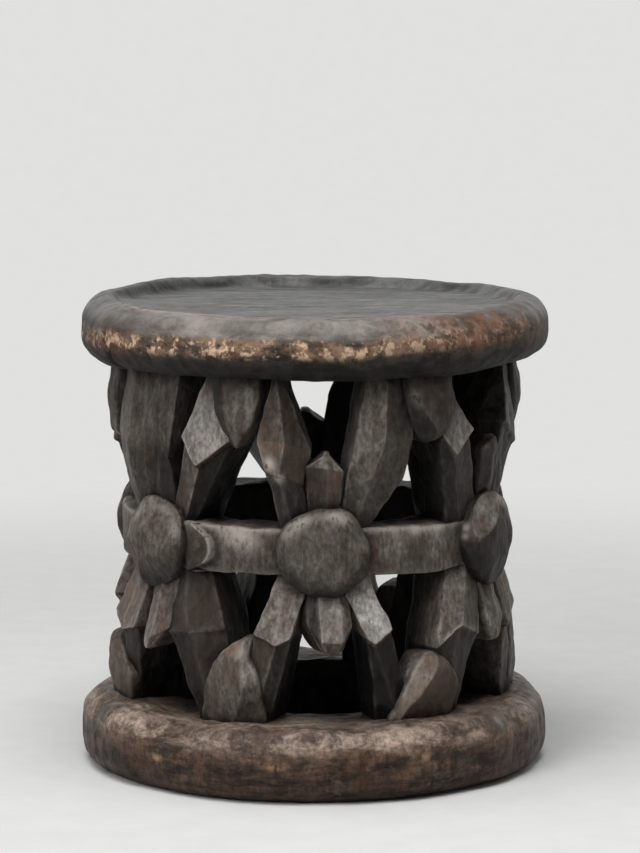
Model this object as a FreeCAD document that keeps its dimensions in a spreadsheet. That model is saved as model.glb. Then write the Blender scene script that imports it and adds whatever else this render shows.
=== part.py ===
import FreeCAD, Part
import os
import Sketcher

# Low round stool carved from one log: a dished seat and a ring base, joined by an openwork cage
# of six spiders. Every spider is a round body on a level hoop, with a head above it, a tail below
# it, two legs that reach up to the seat and two that reach down to the base. Where the legs of
# two neighbours meet there is a faceted knot.
# Lengths are in millimetres, turns in degrees. Z is up, the floor is z = 0 and the stool's axis
# is the Z axis. Turns start at the front (-Y) and grow towards +X. The left and the right of a
# spider are taken by somebody who stands in front of it.

SIZES = {
    "stool_height": 339,
    # seat: a thick disc with a rounded edge and a shallow dish inside the rim
    "seat_radius": 170,
    "seat_thick": 48,
    "seat_round_top": 19,
    "seat_round_under": 22,
    "rim_wide": 22,
    "rim_round": 2.5,
    "dish_depth": 6,
    "dish_slope": 6,
    # base: a ring with a rounded outer edge, a little narrower than the seat
    "base_set_in": 2,
    "base_thick": 51,
    "base_round_top": 20,
    "base_round_under": 17,
    # cage: its hoop stands in from the edge of the seat; its hollow core goes on through the base
    "hoop_set_in": 30,
    "hoop_tall": 33,
    "cage_thick": 38,
    # every carved section narrows towards the core and has a ridge along the middle of its face
    "inner_share": 0.72,
    "shoulder_share": 0.3,
    # round bodies, let into the hoop from outside
    "body_radius": 32,
    "body_proud": 10,
    "body_round": 12,
    "behind_body": 15,
    # heads stand on the hoop, tails hang from it
    "behind_limb": 22,
    "limb_root": 0.85,
    "head_tall": 56,
    "head_half": 12.5,
    "head_proud": 7,
    "head_brow": 0.86,
    "head_tip": 0.15,
    "tail_long": 55,
    "tail_half": 12.5,
    "tail_proud": 12,
    "tail_bulge": 0.7,
    "tail_tip": 0.4,
    # legs: a hip on the hoop, a bulging knee, a foot at the seat or the base
    "hip_turn": 8,
    "hip_half": 11,
    "hip_proud": -1,
    "knee_share": 0.35,
    "knee_tilt": 28,
    "knee_proud": 10,
    "upper_knee_rise": 56,
    "upper_knee_half": 21,
    "lower_knee_drop": 43,
    "lower_knee_half": 15,
    "foot_share": 0.65,
    "foot_half": 16,
    "slim_foot_half": 8,
    "foot_proud": 1,
    # knots, under the seat and on the base
    "behind_knot": 16,
    "knot_root": 0.8,
    "knot_root_proud": 6,
    "knot_bulge": 0.42,
    "knot_proud": 10,
    "knot_tip": 0.32,
    "knot_tip_proud": 7,
    "upper_knot_tall": 49,
    "upper_knot_half": 20,
    "lower_knot_tall": 56,
    "lower_knot_half": 25,
    # spacing by eye: the angle from each spider to the next; the last has what is left of the turn
    "step_front": 57.5,
    "step_right_front": 61,
    "step_right_back": 62,
    "step_back": 62,
    "step_left_back": 62.5,
    # how far along a gap the knots stand and the upper feet meet; the gaps beside the front differ
    "knot_share": 0.5,
    "front_left_knot_share": 0.56,
    "meet_share": 0.5,
    "front_right_meet_share": 0.435,
    "front_left_meet_share": 0.71,
}
SPIDERS = ("front", "right_front", "right_back", "back", "left_back", "left_front")
# each gap lies to the right of the spider at the same place in the list above
GAPS = ("front_right", "right", "back_right", "back_left", "left", "front_left")

UP = FreeCAD.Vector(0, 0, 1)
AHEAD = FreeCAD.Vector(1, 0, 0)
LEVEL = "0"

UNDER_SEAT = "(Sizes.stool_height - Sizes.seat_thick)"
ON_BASE = "Sizes.base_thick"
WAIST = f"(({UNDER_SEAT} + {ON_BASE}) / 2)"
HOOP_TOP = f"({WAIST} + Sizes.hoop_tall / 2)"
HOOP_UNDER = f"({WAIST} - Sizes.hoop_tall / 2)"
HOOP_FACE = "(Sizes.seat_radius - Sizes.hoop_set_in)"
CORE = f"({HOOP_FACE} - Sizes.cage_thick)"

# turns of the spiders, one step after another, with the full turn at the end
TURNS = ["0"]
for spider in SPIDERS[:-1]:
    TURNS.append(f"({TURNS[-1]} + Sizes.step_{spider})")
TURNS.append("360")


def share_of_gap(place, share):
    """Turn that lies this share of the way from a spider to the next one."""
    return f"({TURNS[place]} + Sizes.{share} * ({TURNS[place + 1]} - {TURNS[place]}))"


KNOT_TURNS = []
MEET_TURNS = []
for place, gap in enumerate(GAPS):
    own_knot, own_meet = f"{gap}_knot_share", f"{gap}_meet_share"
    KNOT_TURNS.append(share_of_gap(place, own_knot if own_knot in SIZES else "knot_share"))
    MEET_TURNS.append(share_of_gap(place, own_meet if own_meet in SIZES else "meet_share"))

doc = FreeCAD.newDocument("carved_stool")
sheet = doc.addObject("Spreadsheet::Sheet", "Sizes")
for row, (alias, value) in enumerate(SIZES.items(), 1):
    sheet.set(f"A{row}", alias)
    sheet.set(f"B{row}", str(value))
    sheet.setAlias(f"B{row}", alias)
doc.recompute()


def worth(expression):
    """Number that an expression of sheet values comes to."""
    return float(sheet.evalExpression(expression))


def face(proud):
    """Radius of a face that stands this far out from the face of the hoop."""
    return f"({HOOP_FACE} + Sizes.{proud})"


def new_sketch(body, name, role):
    """Empty sketch on one of the body's own origin planes."""
    sketch = body.newObject("Sketcher::SketchObject", name)
    plane = next(feature for feature in body.Origin.OriginFeatures if feature.Role == role)
    sketch.AttachmentSupport = (plane, [""])
    sketch.MapMode = "FlatFace"
    return sketch


def draw_polygon(sketch, corners):
    """Closed outline; each corner is a pair of expressions, measured from the sketch's origin."""
    count = len(corners)
    places = [tuple(worth(expression) for expression in corner) for corner in corners]
    points = [FreeCAD.Vector(*place, 0) for place in places]
    sketch.addGeometry([Part.LineSegment(points[i], points[(i + 1) % count]) for i in range(count)])
    rules = [Sketcher.Constraint("Coincident", i, 2, (i + 1) % count, 1) for i in range(count)]
    for i, place in enumerate(places):
        rules.append(Sketcher.Constraint("DistanceX", -1, 1, i, 1, place[0]))
        rules.append(Sketcher.Constraint("DistanceY", -1, 1, i, 1, place[1]))
    sketch.addConstraint(rules)
    for i, (across, along) in enumerate(corners):
        sketch.setExpression(f"Constraints[{count + 2 * i}]", across)
        sketch.setExpression(f"Constraints[{count + 2 * i + 1}]", along)


def circle_name(shape, radius, height):
    """Name of the full circle with this radius at this height about the Z axis."""
    for number, edge in enumerate(shape.Edges, 1):
        if not isinstance(edge.Curve, Part.Circle):
            continue
        if abs(edge.Curve.Radius - radius) < 1e-4 and abs(edge.Curve.Center.z - height) < 1e-4:
            return f"Edge{number}"
    raise ValueError(f"no circle of radius {radius} at height {height}")


def turned_body(name, corners, rounds):
    """Body turned about its own Z axis; rounds lists (radius of the edge, its height, rounding)."""
    body = doc.addObject("PartDesign::Body", name)
    profile = new_sketch(body, f"{name}_profile", "XZ_Plane")
    draw_polygon(profile, corners)
    turned = body.newObject("PartDesign::Revolution", f"{name}_turned")
    turned.Profile = profile
    turned.ReferenceAxis = (profile, ["V_Axis"])
    turned.Angle = 360
    doc.recompute()
    for number, (radius, height, rounding) in enumerate(rounds, 1):
        last = body.Tip
        fillet = body.newObject("PartDesign::Fillet", f"{name}_round_{number}")
        fillet.Base = (last, [circle_name(last.Shape, worth(radius), worth(height))])
        fillet.setExpression("Radius", rounding)
        doc.recompute()
    return body


def carved_body(name, stations):
    """Faceted body between five-cornered sections, each centred on a turn of its own.

    A station is (height, turn, tilt, half width, radius of the back, radius of the ridge). The
    tilt lifts the side that lies on the right; without it the section is level.
    """
    body = doc.addObject("PartDesign::Body", name)
    sections = []
    for number, (height, turn, tilt, half, back, ridge) in enumerate(stations, 1):
        sketch = new_sketch(body, f"{name}_section_{number}", "XY_Plane")
        outwards = FreeCAD.Rotation(UP, worth(turn) - 90)
        tilted = FreeCAD.Rotation(AHEAD, worth(tilt))
        sketch.AttachmentOffset = FreeCAD.Placement(FreeCAD.Vector(), outwards * tilted)
        sketch.setExpression("AttachmentOffset.Base.z", height)
        shoulder = f"{ridge} - Sizes.shoulder_share * {half}"
        draw_polygon(sketch, [
            (back, f"-1 * Sizes.inner_share * {half}"),
            (shoulder, f"-1 * {half}"),
            (ridge, "0"),
            (shoulder, half),
            (back, f"Sizes.inner_share * {half}"),
        ])
        sections.append(sketch)
    loft = body.newObject("PartDesign::AdditiveLoft", f"{name}_loft")
    loft.Profile = sections[0]
    loft.Sections = sections[1:]
    loft.Ruled = True
    return body


def trimmed(name, blank, neighbours):
    """The blank less its neighbours, so that it meets them face to face."""
    cutters = doc.addObject("Part::Compound", f"{name}_neighbours")
    cutters.Links = neighbours
    cut = doc.addObject("Part::Cut", name)
    cut.Base = blank
    cut.Tool = cutters
    return cut


pieces = {}

# seat
dish_radius = "(Sizes.seat_radius - Sizes.rim_wide)"
dish_floor = "(Sizes.stool_height - Sizes.dish_depth)"
pieces["seat"] = turned_body(
    "seat",
    [
        ("0", UNDER_SEAT),
        ("Sizes.seat_radius", UNDER_SEAT),
        ("Sizes.seat_radius", "Sizes.stool_height"),
        (dish_radius, "Sizes.stool_height"),
        (f"{dish_radius} - Sizes.dish_slope", dish_floor),
        ("0", dish_floor),
    ],
    [
        ("Sizes.seat_radius", UNDER_SEAT, "min(Sizes.seat_round_under; 0.5 * Sizes.seat_thick)"),
        ("Sizes.seat_radius", "Sizes.stool_height",
         "min(Sizes.seat_round_top; 0.45 * Sizes.seat_thick; 0.87 * Sizes.rim_wide)"),
        (dish_radius, "Sizes.stool_height",
         "min(Sizes.rim_round; 0.12 * Sizes.rim_wide; 0.5 * Sizes.dish_depth)"),
    ],
)

# base ring
base_radius = "(Sizes.seat_radius - Sizes.base_set_in)"
pieces["base_ring"] = turned_body(
    "base_ring",
    [
        (CORE, "0"),
        (base_radius, "0"),
        (base_radius, ON_BASE),
        (CORE, ON_BASE),
    ],
    [
        (base_radius, "0", "min(Sizes.base_round_under; 0.45 * Sizes.base_thick)"),
        (base_radius, ON_BASE, "min(Sizes.base_round_top; 0.45 * Sizes.base_thick)"),
    ],
)

# bodies: turned about Z, then laid with the rounded edge facing outwards
body_back = f"({CORE} + Sizes.behind_body)"
body_deep = f"({face('body_proud')} - {body_back})"
for spider, turn in zip(SPIDERS, TURNS):
    body = turned_body(
        f"{spider}_body",
        [
            ("0", "0"),
            ("Sizes.body_radius", "0"),
            ("Sizes.body_radius", body_deep),
            ("0", body_deep),
        ],
        [("Sizes.body_radius", body_deep, f"min(Sizes.body_round; 0.9 * {body_deep})")],
    )
    outwards = FreeCAD.Rotation(UP, worth(turn)) * FreeCAD.Rotation(AHEAD, 90)
    body.Placement = FreeCAD.Placement(FreeCAD.Vector(), outwards)
    body.setExpression("Placement.Base.x", f"{body_back} * sin({turn})")
    body.setExpression("Placement.Base.y", f"-1 * {body_back} * cos({turn})")
    body.setExpression("Placement.Base.z", WAIST)
    pieces[f"{spider}_body"] = body

# hoop round the waist, cut where the bodies are let in
hoop_blank = turned_body(
    "waist_hoop_blank",
    [
        (CORE, HOOP_UNDER),
        (HOOP_FACE, HOOP_UNDER),
        (HOOP_FACE, HOOP_TOP),
        (CORE, HOOP_TOP),
    ],
    [],
)
bodies = [pieces[f"{spider}_body"] for spider in SPIDERS]
pieces["waist_hoop"] = trimmed("waist_hoop", hoop_blank, bodies)

# knots: the root lies on the seat or the base, the middle bulges and the tip is blunt
knot_back = f"({CORE} + Sizes.behind_knot)"
for gap, turn in zip(GAPS, KNOT_TURNS):
    for row, root, sign in (("upper", UNDER_SEAT, -1), ("lower", ON_BASE, 1)):
        tall = f"{sign} * Sizes.{row}_knot_tall"
        half = f"Sizes.{row}_knot_half"
        name = f"{row}_knot_{gap}"
        pieces[name] = carved_body(name, [
            (root, turn, LEVEL, f"Sizes.knot_root * {half}", knot_back,
             face("knot_root_proud")),
            (f"{root} + Sizes.knot_bulge * {tall}", turn, LEVEL, half, knot_back,
             face("knot_proud")),
            (f"{root} + {tall}", turn, LEVEL, f"Sizes.knot_tip * {half}", knot_back,
             face("knot_tip_proud")),
        ])

# heads and tails: a root on the hoop, a brow or a bulge, and a tip; cut by their body
limb_back = f"({CORE} + Sizes.behind_limb)"
for spider, turn in zip(SPIDERS, TURNS):
    for limb, start, reach, widest in (
        ("head", HOOP_TOP, "Sizes.head_tall", "Sizes.head_brow"),
        ("tail", HOOP_UNDER, "-1 * Sizes.tail_long", "Sizes.tail_bulge"),
    ):
        half = f"Sizes.{limb}_half"
        tip_half = f"Sizes.{limb}_tip * {half}"
        ridge = face(f"{limb}_proud")
        blank = carved_body(f"{spider}_{limb}_blank", [
            (start, turn, LEVEL, f"Sizes.limb_root * {half}", limb_back, face("hip_proud")),
            (f"{start} + {widest} * {reach}", turn, LEVEL, half, limb_back, ridge),
            (f"{start} + {reach}", turn, LEVEL, tip_half, limb_back, ridge),
        ])
        name = f"{spider}_{limb}"
        pieces[name] = trimmed(name, blank, [pieces[f"{spider}_body"]])

# legs, left ones first: each is cut by its own body and head or tail and by the knot at its foot,
# and a right leg also by the left leg of the next spider
for side, sign in (("left", -1), ("right", 1)):
    for place, spider in enumerate(SPIDERS):
        follower = SPIDERS[(place + 1) % len(SPIDERS)]
        # the gap on the left of a spider comes before it in the list; the front one's comes last,
        # and from there the front lies at the full turn
        gap = (place - 1) % len(GAPS) if side == "left" else place
        turn = TURNS[gap + 1] if side == "left" else TURNS[gap]
        hip = f"({turn} + {sign} * Sizes.hip_turn)"
        rows = (
            ("upper", "head", -1, MEET_TURNS[gap],
             (HOOP_TOP, f"{HOOP_TOP} + Sizes.upper_knee_rise", UNDER_SEAT)),
            ("lower", "tail", 1, KNOT_TURNS[gap],
             (HOOP_UNDER, f"{HOOP_UNDER} - Sizes.lower_knee_drop", ON_BASE)),
        )
        for row, limb, lift, meet, heights in rows:
            name = f"{spider}_{row}_{side}_leg"
            knee = f"({hip} + Sizes.knee_share * ({meet} - {hip}))"
            foot = f"({hip} + Sizes.foot_share * ({meet} - {hip}))"
            # the fold of the knee is square to the leg, which leans towards the gap
            tilt = f"{sign * lift} * Sizes.knee_tilt"
            foot_half = "Sizes.foot_half"
            if name == "front_upper_left_leg":
                foot_half = "Sizes.slim_foot_half"
            blank = carved_body(f"{name}_blank", [
                (heights[0], hip, LEVEL, "Sizes.hip_half", CORE, face("hip_proud")),
                (heights[1], knee, tilt, f"Sizes.{row}_knee_half", CORE, face("knee_proud")),
                (heights[2], foot, LEVEL, foot_half, CORE, face("foot_proud")),
            ])
            neighbours = [f"{spider}_body", f"{spider}_{limb}", f"{row}_knot_{GAPS[gap]}"]
            if side == "right":
                neighbours.append(f"{follower}_{row}_left_leg")
            pieces[name] = trimmed(name, blank, [pieces[other] for other in neighbours])

doc.recompute()
for item in doc.Objects:
    if "Invalid" in item.State or "Error" in item.State:
        raise ValueError(f"{item.Label} does not build")

os.makedirs("parts", exist_ok=True)
for name, piece in pieces.items():
    piece.Label = name
    shape = piece.Shape
    if shape.isNull() or not shape.isValid() or len(shape.Solids) != 1:
        raise ValueError(f"{name} is not one sound solid")
    shape.exportStep(f"parts/{name}.step")
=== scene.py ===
import math
import bpy
import numpy as np
from mathutils import Matrix, Vector


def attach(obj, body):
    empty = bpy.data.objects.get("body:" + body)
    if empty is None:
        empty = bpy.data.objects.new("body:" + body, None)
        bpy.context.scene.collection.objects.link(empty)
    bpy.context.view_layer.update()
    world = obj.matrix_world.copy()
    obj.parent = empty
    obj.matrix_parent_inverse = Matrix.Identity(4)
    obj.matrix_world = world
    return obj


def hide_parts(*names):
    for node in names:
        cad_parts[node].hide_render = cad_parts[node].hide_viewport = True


# Low stool carved from one log: dished seat, ring base, and between them an openwork cage of six
# spiders. Shapes are worked out in millimetres. A place on the log is (turn, height, radius): turns
# are degrees from the front (-Y) towards +X, and left and right are taken from outside the stool.
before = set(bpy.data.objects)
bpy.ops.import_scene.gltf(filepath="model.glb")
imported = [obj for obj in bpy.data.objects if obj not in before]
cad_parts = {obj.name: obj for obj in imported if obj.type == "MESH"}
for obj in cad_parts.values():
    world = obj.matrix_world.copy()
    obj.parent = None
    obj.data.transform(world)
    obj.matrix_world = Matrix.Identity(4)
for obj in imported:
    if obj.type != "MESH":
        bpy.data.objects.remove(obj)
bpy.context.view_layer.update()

MM = 0.001
TINY = 1e-9
SPIDERS = ("front", "right_front", "right_back", "back", "left_back", "left_front")
GAPS = ("front_right", "right", "back_right", "back_left", "left", "front_left")
TURNS = (0, 57.5, 118.5, 180.5, 242.5, 305, 360)  # of the spiders, and of the first one again
SEAT_UNDER, BASE_TOP, WAIST = 291, 51, 171
HOOP_TOP, HOOP_UNDER = 187.5, 154.5
CORE, HOOP_FACE = 102, 140  # radii of the hollow inside the cage and of the hoop's face
KNOT_BACK, LIMB_BACK, BODY_BACK = 118, 124, 117  # radii where these pieces end towards the core
SUNK = 13  # how far a limb runs on into the seat, the base or the hoop

# Values and places


def ramp(value, start, length):
    """0 up to a start, then evenly up to 1 over a length; a negative length counts downwards."""
    return np.clip((value - start) / length, 0, 1)


def mound(value, middle, width):
    """1 at a middle, fading to both sides: exp(-(distance / width) squared)."""
    return np.exp(-(((value - middle) / width) ** 2))


def shade_share(away, strength, reach):
    """Share of colour left by painted shade at a distance from a shaded corner: 1 - strength exp(-distance /
    reach).
    """
    return 1 - strength * np.exp(-away / reach)


def short_way(turn):
    """A turn counted the short way round, from -180 to 180 degrees."""
    return (turn + 180) % 360 - 180


def round_about(turn, middle, width):
    """1 at a turn, fading over a width in degrees: a mound of the short way to it."""
    return mound(short_way(turn - middle), 0, width)


def on_log(turn, height, radius):
    """Point at a turn and height, radius away from the upright axis: (r sin t, -r cos t, h)."""
    angle = np.radians(turn)
    return np.stack(np.broadcast_arrays(radius * np.sin(angle), -radius * np.cos(angle), height), -1)


def laid_out(places):
    """Points of an array of places (turn, height, radius)."""
    return on_log(places[..., 0], places[..., 1], places[..., 2])


def turn_of(points):
    """Turn of points on the log: the angle between the front and the way out to them."""
    return np.degrees(np.arctan2(points[..., 0], -points[..., 1]))


# Lines and surfaces

MOST_CUT = 0.45  # share of a side that a worn corner takes at most
SWAY_SEEDS, SWAY, FLOOR_EASE = (11, 12, 13), (0.7, 0.7, 0.6), 25


def eased(corners, cut, closed, bend, run):
    """Line along the first axis of corners, straight between them, with each corner worn round.

    A corner c between neighbours a and b becomes the parabola with control points c moved towards a
    by cut, c itself, and c moved towards b by cut. bend points lie on each parabola and run points on
    each straight.
    """
    corners = np.asarray(corners, float)
    count, flat = len(corners), (1,) * (corners.ndim - 1)
    before, after = np.roll(corners, 1, 0), np.roll(corners, -1, 0)
    if not closed:
        before[0], after[-1] = corners[0], corners[-1]
    back, on = before - corners, after - corners
    back_long = np.maximum(np.linalg.norm(back, axis=-1, keepdims=True), TINY)
    on_long = np.maximum(np.linalg.norm(on, axis=-1, keepdims=True), TINY)
    cut = np.broadcast_to(np.asarray(cut, float), (count,)).reshape((count,) + flat)
    reach = np.minimum(cut, MOST_CUT * np.minimum(back_long, on_long))
    start, end = corners + back / back_long * reach, corners + on / on_long * reach
    s = np.linspace(0, 1, bend).reshape((1, bend) + flat)
    worn = (1 - s) ** 2 * start[:, None] + 2 * s * (1 - s) * corners[:, None] + s**2 * end[:, None]
    f = (np.arange(1, run + 1) / (run + 1)).reshape((1, run) + flat)
    straight = end[:, None] * (1 - f) + np.roll(start, -1, 0)[:, None] * f
    line = np.concatenate([worn, straight], 1).reshape((count * (bend + run),) + corners.shape[1:])
    return line if closed else line[bend - 1:(count - 1) * (bend + run) + 1]


def sides_of(count, closed, bend, run):
    """For each point of an eased line, the number of the straight that it belongs to."""
    own = np.repeat(np.arange(count)[:, None], bend + run, 1)
    own[:, :(bend + 1) // 2] -= 1
    own = own.reshape(-1) % count
    return own if closed else np.clip(own[bend - 1:(count - 1) * (bend + run) + 1], 0, count - 2)


def waves(points, seed, short, long, count=9):
    """Smooth random height: a mean of sine waves with seeded directions, lengths and phases."""
    rng = np.random.default_rng(seed)
    way = rng.normal(size=(count, 3))
    way *= (2 * np.pi / rng.uniform(short, long, count) / np.linalg.norm(way, axis=1))[:, None]
    return np.sin(points @ way.T + rng.uniform(0, 2 * np.pi, count)).sum(-1) / math.sqrt(count)


def roughened(grid, normal, fine, coarse, share=1):
    """Skin moved along its normal by a share of two waves, each (depth, seed, shortest, longest)."""
    lift = sum(depth * waves(grid, seed, short, long) for depth, seed, short, long in (fine, coarse))
    return grid + normal * (share * lift)[..., None]


def hand_cut(points):
    """The log's own unevenness: long waves move every point by up to about 1 mm, but not on the floor."""
    sway = np.stack([waves(points, seed, 60, 130) for seed in SWAY_SEEDS], -1)
    return points + sway * ramp(points[..., 2:], 0, FLOOR_EASE) * SWAY


def normals_of(grid):
    """Unit normals of a grid that closes across its second axis: cross product of its two steps."""
    along = np.gradient(grid, axis=0)
    across = np.roll(grid, -1, 1) - np.roll(grid, 1, 1)
    normal = np.cross(across, along)
    return normal / np.maximum(np.linalg.norm(normal, axis=-1, keepdims=True), TINY)


def outwards(grid, middle, *values):
    """Grid, normals and values, with the columns run backwards if the normals point at the middle."""
    normal = normals_of(grid)
    if (normal * (grid - middle)).sum() < 0:
        grid, normal = grid[:, ::-1], -normal[:, ::-1]
        values = [value[:, ::-1] for value in values]
    return grid, normal, *values


def carried_round(line, turns):
    """Turn, radius and height of every point of a profile (radius, height) carried round the axis."""
    return [values.copy() for values in np.broadcast_arrays(turns, line[:, :1], line[:, 1:])]


# Pieces

MADE = []  # mesh, points and every third point each way of the pieces made so far
SKIN_STEP, BLOCK = 3, 500
# painted shade where two pieces meet: the reach of the search, then the strength and reach of the shade
JOINT_REACH, JOINT_SHADE = 12, (0.8, 4.0)


def quads(rows, columns, ring=False):
    """Corner numbers of the cells of a grid that closes across its columns, in a ring also its rows."""
    number = np.arange(rows * columns).reshape(rows, columns)
    near = number if ring else number[:-1]
    far = np.roll(number, -1, 0)[:len(near)]
    return np.stack([near, np.roll(near, -1, 1), np.roll(far, -1, 1), far], -1).reshape(-1, 4)


def smooth_mesh(name, points, faces):
    """Mesh with smooth shading from points in metres and lists of their numbers."""
    mesh = bpy.data.meshes.new(name)
    mesh.from_pydata(points.tolist(), [], faces)
    mesh.polygons.foreach_set("use_smooth", np.ones(len(faces), bool))
    return mesh


def add_mark(mesh, name, value):
    """Keeps one value per point as an attribute that the finish reads."""
    mesh.attributes.new(name, "FLOAT", "POINT").data.foreach_set("value", value.astype(np.float32))


def piece_of(name, grid, marks, material, ring=False):
    """One piece of the stool over a grid that closes across its columns, with its marks per point.

    In a ring the last row joins the first; else a middle point closes the first and the last row.
    """
    rows, columns = grid.shape[:2]
    points = grid.reshape(-1, 3)
    faces = quads(rows, columns, ring).tolist()
    values = {key: np.asarray(value, float).reshape(-1) for key, value in marks.items()}
    if not ring:
        first, low = np.arange(columns), rows * columns
        last, high = first + low - columns, low + 1
        points = np.concatenate([points, grid[0].mean(0)[None], grid[-1].mean(0)[None]])
        values = {key: np.append(value, [value[first].mean(), value[last].mean()])
                  for key, value in values.items()}
        faces += np.stack([np.roll(first, -1), first, np.full(columns, low)], -1).tolist()
        faces += np.stack([last, np.roll(last, -1), np.full(columns, high)], -1).tolist()
    mesh = smooth_mesh(name, points * MM, faces)
    for key, value in values.items():
        add_mark(mesh, key, value)
    mesh.update()
    piece = bpy.data.objects.new(f"{name}_carved", mesh)
    bpy.context.scene.collection.objects.link(piece)
    mesh.materials.append(material)
    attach(piece, "root")
    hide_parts(name)
    skin = grid[::SKIN_STEP, ::SKIN_STEP].reshape(-1, 3)
    MADE.append((mesh, points.astype(np.float32), skin.astype(np.float32)))


def nearest(points, others):
    """Distance from each p of points to the nearest q of others: |p - q|^2 = p.p + q.q - 2 p.q."""
    lengths = (others**2).sum(1)
    blocks = [(block**2).sum(1) + (lengths - 2 * block @ others.T).min(1)
              for block in np.array_split(points, len(points) // BLOCK + 1)]
    return np.sqrt(np.maximum(np.concatenate(blocks), 0))


def within(points, low, high):
    """Which points lie inside a box: every coordinate between its low and its high corner."""
    return ((points > low) & (points < high)).all(1)


def shade_joints():
    """Gives every piece its mark of painted shade where it meets another: the share of colour left by the
    distance to the next piece.
    """
    for mesh, points, own in MADE:
        low, high = points.min(0) - JOINT_REACH, points.max(0) + JOINT_REACH
        others = np.concatenate([skin[within(skin, low, high)] for _, _, skin in MADE if skin is not own])
        close = within(points, others.min(0) - JOINT_REACH, others.max(0) + JOINT_REACH)
        joint_shade = np.ones(len(points), np.float32)
        joint_shade[close] = shade_share(nearest(points[close], others), *JOINT_SHADE)
        add_mark(mesh, "joint_shade", joint_shade)


# Finishes

MIX_SHARE, MIX_FIRST, MIX_SECOND, MIX_COLOUR = 0, 6, 7, 2  # sockets of the mix node for colours


class Bench:
    """Short ways to lay out and join the nodes of one finish."""

    def __init__(self, name):
        """A new material, empty but for the place on the stool that every pattern reads."""
        self.material = bpy.data.materials.new(name)
        self.material.use_nodes = True
        self.tree = self.material.node_tree
        self.tree.nodes.clear()
        self.place = self.node("ShaderNodeTexCoord", "Object", {})

    def put(self, socket, value):
        """Joins another socket to a socket, or sets it to a number, a vector or an opaque colour."""
        if isinstance(value, bpy.types.NodeSocket):
            self.tree.links.new(value, socket)
        else:
            socket.default_value = (*value, 1) if socket.type == "RGBA" else value

    def node(self, kind, output, inputs, **settings):
        """One output of a new node with the given settings and inputs."""
        node = self.tree.nodes.new(kind)
        for key, value in settings.items():
            setattr(node, key, value)
        for key, value in inputs.items():
            self.put(node.inputs[key], value)
        return node.outputs[output]

    def shown(self, shader):
        """The material, with a shader as its surface."""
        self.put(self.tree.nodes.new("ShaderNodeOutputMaterial").inputs["Surface"], shader)
        return self.material

    def mark(self, name):
        """One of the piece's own marks."""
        return self.node("ShaderNodeAttribute", "Fac", {}, attribute_name=name)

    def placed(self, stretch, shift=(0, 0, 0)):
        """The place on the stool, times stretch along each axis, plus shift."""
        return self.node("ShaderNodeMapping", "Vector",
                         {"Vector": self.place, "Scale": stretch, "Location": shift})

    def noise_at(self, place, detail, rough, warp=0.0):
        """Noise at a place, with features about 1 long there."""
        return self.node("ShaderNodeTexNoise", "Fac", {"Vector": place, "Scale": 1.0, "Detail": detail,
                                                       "Roughness": rough, "Distortion": warp})

    def noise(self, stretch, detail, rough, shift=(0, 0, 0), warp=0.0):
        """Noise whose features are 1 / stretch metres long along each axis."""
        return self.noise_at(self.placed(stretch, shift), detail, rough, warp)

    def ring_noise(self, along, across, detail, rough, shift):
        """Noise drawn out round the stool: height plus distance from the axis counts by across."""
        lift = self.node("ShaderNodeCombineXYZ", "Vector", {"Z": self.times(self.axis_distance(), across)})
        place = self.node("ShaderNodeVectorMath", "Vector",
                          {0: self.placed((along, along, across), shift), 1: lift}, operation="ADD")
        return self.noise_at(place, detail, rough)

    def flats(self, stretch):
        """Shallow scoops side by side, as a blade leaves them: distance to the nearest random point."""
        return self.node("ShaderNodeTexVoronoi", "Distance", {"Vector": self.placed(stretch), "Scale": 1.0},
                         feature="F1", distance="EUCLIDEAN")

    def span(self, value, low, high, to_low=0.0, to_high=1.0):
        """Smooth step from to_low, where the value is low, to to_high, where it is high."""
        return self.node("ShaderNodeMapRange", "Result",
                         {"Value": value, "From Min": low, "From Max": high, "To Min": to_low,
                          "To Max": to_high}, interpolation_type="SMOOTHSTEP")

    def maths(self, operation, first, second):
        """Sum, product or another operation of two values."""
        return self.node("ShaderNodeMath", "Value", {0: first, 1: second}, operation=operation)

    def times(self, first, second):
        """Product of two values."""
        return self.maths("MULTIPLY", first, second)

    def total(self, whole, *others):
        """Sum of values."""
        for value in others:
            whole = self.maths("ADD", whole, value)
        return whole

    def mix(self, share, first, second):
        """First colour where the share is 0, second where it is 1, and evenly between them."""
        return self.node("ShaderNodeMix", MIX_COLOUR,
                         {MIX_SHARE: share, MIX_FIRST: first, MIX_SECOND: second},
                         data_type="RGBA", blend_type="MIX")

    def scaled(self, colour, *shares):
        """Colour times every share."""
        for share in shares:
            colour = self.node("ShaderNodeVectorMath", "Vector", {0: colour, "Scale": share},
                               operation="SCALE")
        return colour

    def axis_distance(self):
        """Distance from the stool's upright axis, in metres: length of the place without its height."""
        level = self.node("ShaderNodeVectorMath", "Vector", {0: self.place, 1: (1, 1, 0)},
                          operation="MULTIPLY")
        return self.node("ShaderNodeVectorMath", "Value", {0: level}, operation="LENGTH")

    def wood(self, colour, roughness, grain_stretch, bump, specular):
        """The finished wood, with a relief of knife cuts as bump.

        The relief is the sum of grain, pores, dents and flats of the blade, each times its depth.
        """
        relief = self.total(
            self.times(self.noise(grain_stretch, 5, 0.6), 0.8),
            self.times(self.noise((900, 900, 120), 3, 0.6, (3, 1, 0)), 0.3),
            self.times(self.noise((80, 80, 50), 4, 0.55, (1, 7, 2)), 1.8),
            self.times(self.flats((80, 80, 50)), 1.9),
        )
        normal = self.node("ShaderNodeBump", "Normal", {"Strength": bump, "Distance": MM, "Height": relief})
        return self.shown(self.node("ShaderNodeBsdfPrincipled", "BSDF", {
            "Base Color": colour, "Roughness": roughness, "Normal": normal, "Specular IOR Level": specular}))


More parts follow.
